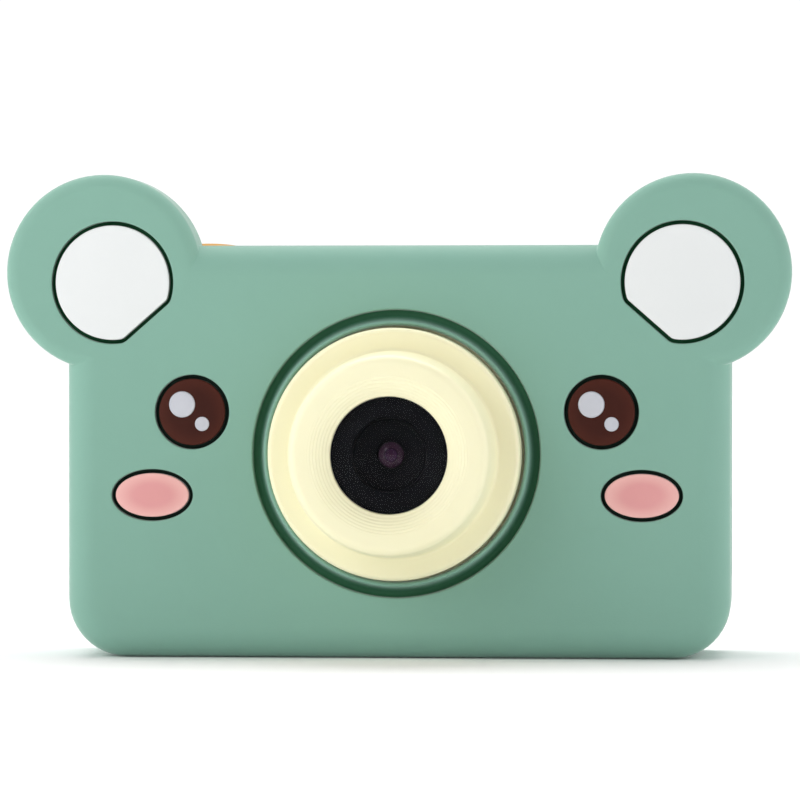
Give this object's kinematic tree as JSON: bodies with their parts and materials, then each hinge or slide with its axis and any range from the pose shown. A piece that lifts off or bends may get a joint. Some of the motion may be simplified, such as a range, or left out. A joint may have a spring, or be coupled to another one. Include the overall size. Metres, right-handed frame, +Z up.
{
  "type": "kids digital camera",
  "caption": "Compact children's camera in a soft animal-face silicone sleeve with round ears, a stepped lens barrel on the front, and a screen with keys on the back.",
  "frame": {"origin": "bottom centre of the whole object's box: the middle of its width and depth, on the flat underside of the sleeve", "axes": "+Z up; the lens looks along -Y; +X is to the right when the camera is seen from the front"},
  "size_m": [0.1098, 0.041, 0.0676],
  "materials": {
    "silicone_mint": "soft matte silicone",
    "silicone_white": "matte silicone",
    "silicone_brown": "matte silicone",
    "silicone_pink": "matte silicone",
    "abs_cream": "smooth satin ABS",
    "abs_orange": "smooth satin ABS",
    "plastic_mint": "fine matte",
    "plastic_black": "fine matte",
    "plunger_plastic": "plain",
    "clear_window": "clear acrylic, polished",
    "coated_glass": "polished with a purple coating",
    "display_glass": "dark display glass",
    "steel": "plated",
    "circuit_board": "green solder mask",
    "sensor_face": "polished silicon under glass",
    "flex_film": "amber polyimide film",
    "battery_foil": "satin laminate pouch",
    "foam": "closed-cell foam",
    "wire_skin": "soft insulation",
    "brass_can": "plated"
  },
  "bodies": {
    "camera": {"silicone_sleeve": "silicone_mint", "ear_inlay_left": "silicone_white", "ear_inlay_right": "silicone_white", "eye_left": "silicone_brown", "eye_right": "silicone_brown", "eye_highlights": "silicone_white", "cheek_left": "silicone_pink", "cheek_right": "silicone_pink", "front_shell": "abs_cream", "rear_shell": "abs_cream", "case_screws": "steel", "lens_barrel": "abs_cream", "barrel_screws": "steel", "lens_window": "clear_window", "lens_bezel": "plastic_black", "lens_element": "coated_glass", "lens_tube": "plastic_black", "sensor_housing": "plastic_black", "image_sensor": "sensor_face", "sensor_board": "circuit_board", "camera_flex": "flex_film", "main_board": "circuit_board", "board_chips": "plastic_black", "board_screws": "steel", "top_board": "circuit_board", "tact_switches": "plastic_black", "display_panel": "display_glass", "display_frame": "steel", "display_flex": "flex_film", "screen_window": "clear_window", "battery": "battery_foil", "battery_foam": "foam", "battery_leads": "wire_skin", "speaker": "plastic_black", "microphone": "brass_can", "status_light": "clear_window", "usb_socket": "steel", "usb_tongue": "plastic_black", "card_socket": "steel"},
    "shutter": {"shutter_button": "abs_orange", "shutter_plunger": "plunger_plastic"},
    "power": {"power_button": "abs_cream", "power_plunger": "plunger_plastic"},
    "up": {"up_key": "abs_cream", "up_plunger": "plunger_plastic"},
    "down": {"down_key": "abs_cream", "down_plunger": "plunger_plastic"},
    "left": {"left_key": "abs_cream", "left_plunger": "plunger_plastic"},
    "right": {"right_key": "abs_cream", "right_plunger": "plunger_plastic"},
    "ok": {"ok_key": "abs_orange", "ok_plunger": "plunger_plastic"},
    "menu": {"menu_key": "abs_cream", "menu_plunger": "plunger_plastic"},
    "play": {"play_key": "abs_cream", "play_plunger": "plunger_plastic"},
    "port_cover": {"port_cover": "plastic_mint"},
    "memory_card": {"memory_card": "plastic_black"}
  },
  "joints": [
    {"name": "shutter_press", "type": "slide", "parent": "camera", "child": "shutter", "axis": [0, 0, -1], "range_m": [0, 0.0005], "stiffness_N_per_m": 400, "springref_m": -0.0005},
    {"name": "power_press", "type": "slide", "parent": "camera", "child": "power", "axis": [0, 0, -1], "range_m": [0, 0.0005], "stiffness_N_per_m": 400, "springref_m": -0.0005},
    {"name": "up_press", "type": "slide", "parent": "camera", "child": "up", "axis": [0, -1, 0], "range_m": [0, 0.0005], "stiffness_N_per_m": 400, "springref_m": -0.0005},
    {"name": "down_press", "type": "slide", "parent": "camera", "child": "down", "axis": [0, -1, 0], "range_m": [0, 0.0005], "stiffness_N_per_m": 400, "springref_m": -0.0005},
    {"name": "left_press", "type": "slide", "parent": "camera", "child": "left", "axis": [0, -1, 0], "range_m": [0, 0.0005], "stiffness_N_per_m": 400, "springref_m": -0.0005},
    {"name": "right_press", "type": "slide", "parent": "camera", "child": "right", "axis": [0, -1, 0], "range_m": [0, 0.0005], "stiffness_N_per_m": 400, "springref_m": -0.0005},
    {"name": "ok_press", "type": "slide", "parent": "camera", "child": "ok", "axis": [0, -1, 0], "range_m": [0, 0.0005], "stiffness_N_per_m": 400, "springref_m": -0.0005},
    {"name": "menu_press", "type": "slide", "parent": "camera", "child": "menu", "axis": [0, -1, 0], "range_m": [0, 0.0005], "stiffness_N_per_m": 400, "springref_m": -0.0005},
    {"name": "play_press", "type": "slide", "parent": "camera", "child": "play", "axis": [0, -1, 0], "range_m": [0, 0.0005], "stiffness_N_per_m": 400, "springref_m": -0.0005},
    {"name": "port_cover_hinge", "type": "hinge", "parent": "camera", "child": "port_cover", "pos_m": [0.04505, 0.0125, 0.0275], "axis": [0, 0, 1], "range_deg": [0, 100]},
    {"name": "card_push", "type": "slide", "parent": "camera", "child": "memory_card", "axis": [1, 0, 0], "range_m": [-0.0005, 0.0012]}
  ]
}
